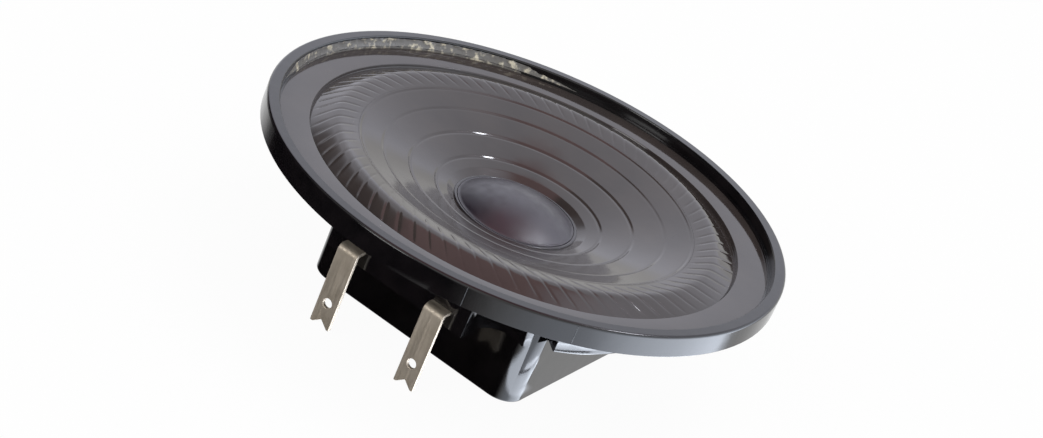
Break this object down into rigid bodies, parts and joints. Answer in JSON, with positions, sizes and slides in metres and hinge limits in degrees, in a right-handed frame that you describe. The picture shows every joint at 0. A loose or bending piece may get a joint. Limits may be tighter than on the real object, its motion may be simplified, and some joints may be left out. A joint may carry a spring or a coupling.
{
  "type": "full-range speaker driver",
  "caption": "Round full-range speaker driver with a stepped film cone, fluted surround, plastic basket, square magnet housing and rear solder tags.",
  "frame": {"origin": "centre of the flange's rear seating face, on the driver's axis", "axes": "+Z along the driver's axis towards its front, the solder tags stand on the -Y side, +X to the right seen from the tag side"},
  "size_m": [0.066, 0.066, 0.0194],
  "materials": {
    "basket_plastic": "black, moulded, glossy",
    "housing_plastic": "black, moulded, glossy",
    "tag_metal": "tinned, satin",
    "solder": "solder, bright",
    "adhesive": "cured adhesive",
    "steel": "turned steel, zinc plated",
    "ferrite": "sintered ferrite",
    "film": "smoky film, glossy",
    "dome_film": "dark film, satin",
    "black_adhesive": "cured adhesive, glossy",
    "former_paper": "treated paper",
    "copper_wire": "enamelled copper wire",
    "braid": "copper braid"
  },
  "bodies": {
    "frame": {"basket": "basket_plastic", "magnet_housing": "housing_plastic", "solder_tag_left": "tag_metal", "solder_tag_right": "tag_metal", "tag_solder": "solder", "front_plate_glue": "adhesive", "front_plate": "steel", "magnet_glue": "adhesive", "magnet_ring": "ferrite", "yoke_glue": "adhesive", "yoke_plate": "steel", "pole_piece": "steel", "housing_glue": "adhesive", "rim_glue": "adhesive", "film_rim": "film", "surround": "film", "lead_left": "braid", "lead_right": "braid"},
    "diaphragm": {"cone": "film", "dome": "dome_film", "dome_glue": "black_adhesive", "coil_former": "former_paper", "voice_coil": "copper_wire", "coil_leads": "copper_wire", "neck_glue": "adhesive"}
  },
  "joints": [
    {"name": "cone_travel", "type": "slide", "parent": "frame", "child": "diaphragm", "axis": [0, 0, 1], "range_m": [-0.0008, 0.0008], "stiffness_N_per_m": 300, "deforming": ["surround", "lead_left", "lead_right"]}
  ]
}
